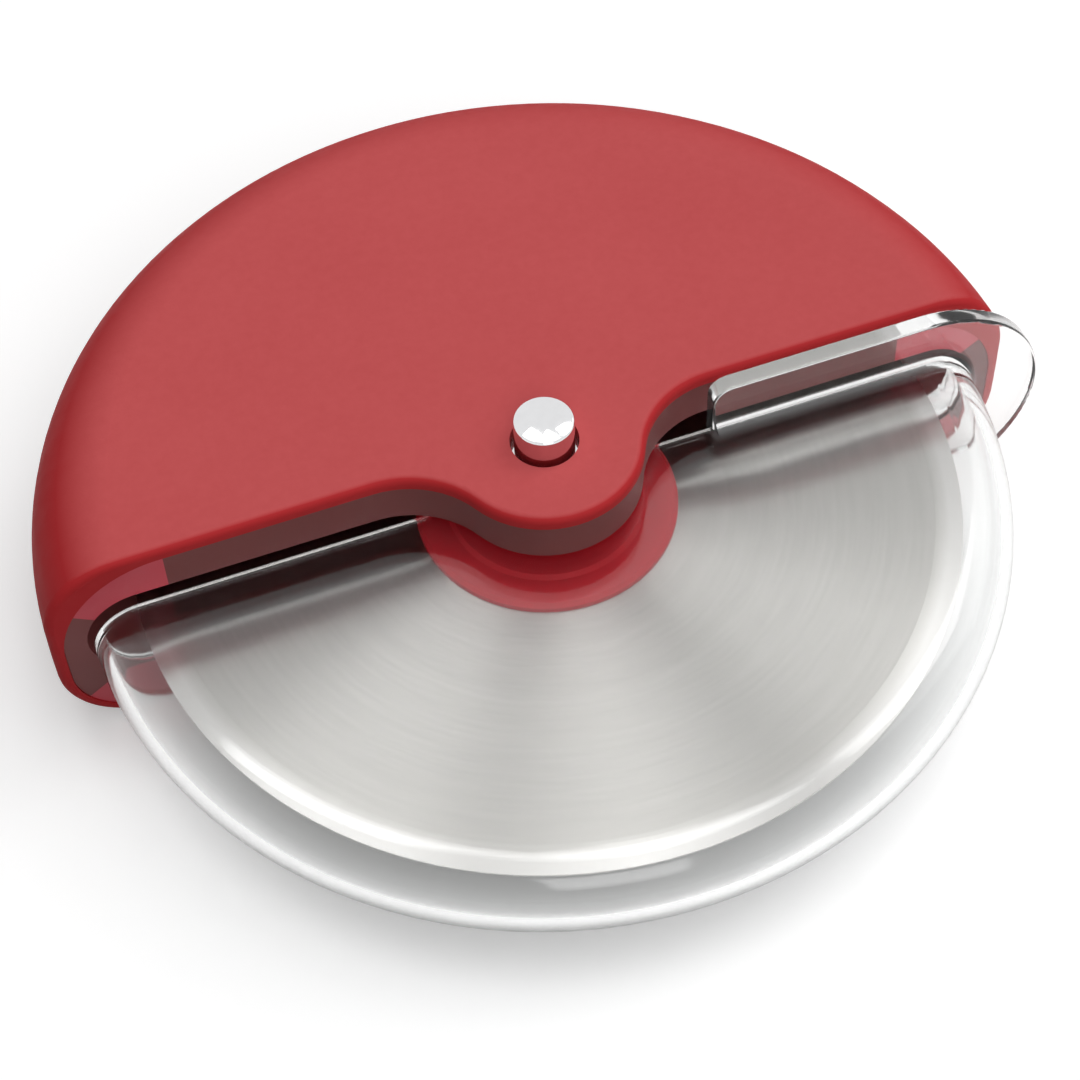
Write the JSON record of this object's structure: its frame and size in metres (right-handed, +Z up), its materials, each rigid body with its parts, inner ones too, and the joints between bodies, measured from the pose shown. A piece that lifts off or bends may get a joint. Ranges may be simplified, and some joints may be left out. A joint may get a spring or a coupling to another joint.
{
  "type": "pizza cutter wheel",
  "caption": "Slim pizza cutter: a steel wheel in a half-disc palm casing, with a clear half-disc guard that swings inside to bare the blade, and a push-button axle release.",
  "frame": {"origin": "on the blade's axle, at the casing's flat underside, which the cutter lies on", "axes": "+Z up along the blade's axle, towards the release button; +X along the casing's straight side, towards the thumb plate; -Y out of the mouth, towards the guarded half of the blade"},
  "size_m": [0.1271, 0.1172, 0.0346],
  "materials": {
    "casing_red": "soft touch, fine matte",
    "hub_red": "moulded, satin",
    "liner_smoke": "smoky, see-through, polished",
    "pad_pink": "see-through pink red",
    "guard_clear": "clear polished plastic",
    "blade_steel": "finely turned, ground edge",
    "button_chrome": "polished",
    "inner_steel": "turned",
    "white_nylon": "moulded"
  },
  "bodies": {
    "casing": {"outer_casing": "casing_red", "upper_liner": "liner_smoke", "lower_liner": "liner_smoke", "upper_left_pad": "pad_pink", "lower_left_pad": "pad_pink", "upper_right_pad": "pad_pink", "lower_right_pad": "pad_pink", "upper_pivot_bush": "inner_steel", "lower_pivot_clip": "inner_steel"},
    "guard": {"blade_guard": "guard_clear", "axle_sleeve": "inner_steel", "sleeve_cap": "inner_steel", "lock_spring": "inner_steel", "upper_washer": "white_nylon", "lower_washer": "white_nylon"},
    "wheel": {"blade": "blade_steel", "upper_hub": "hub_red", "lower_hub": "hub_red", "hub_dowels": "inner_steel", "hub_bushing": "white_nylon"},
    "button": {"release_button": "button_chrome"},
    "pin": {"lock_pin": "inner_steel"}
  },
  "joints": [
    {"name": "guard_swing", "type": "hinge", "parent": "casing", "child": "guard", "pos_m": [0, 0, 0.0167], "axis": [0, 0, -1], "range_deg": [0, 180]},
    {"name": "wheel_spin", "type": "hinge", "parent": "guard", "child": "wheel", "pos_m": [0, 0, 0.0167], "axis": [0, 0, 1], "continuous": true},
    {"name": "button_press", "type": "slide", "parent": "casing", "child": "button", "axis": [0, 0, -1], "range_m": [0, 0.0024], "stiffness_N_per_m": 1200, "springref_m": -0.001},
    {"name": "pin_slide", "type": "slide", "parent": "guard", "child": "pin", "axis": [0, 0, -1], "range_m": [0, 0.0024], "deforming": ["lock_spring"]}
  ],
  "couplings": [
    {"joint": "pin_slide", "follows": "button_press", "ratio": 1}
  ]
}
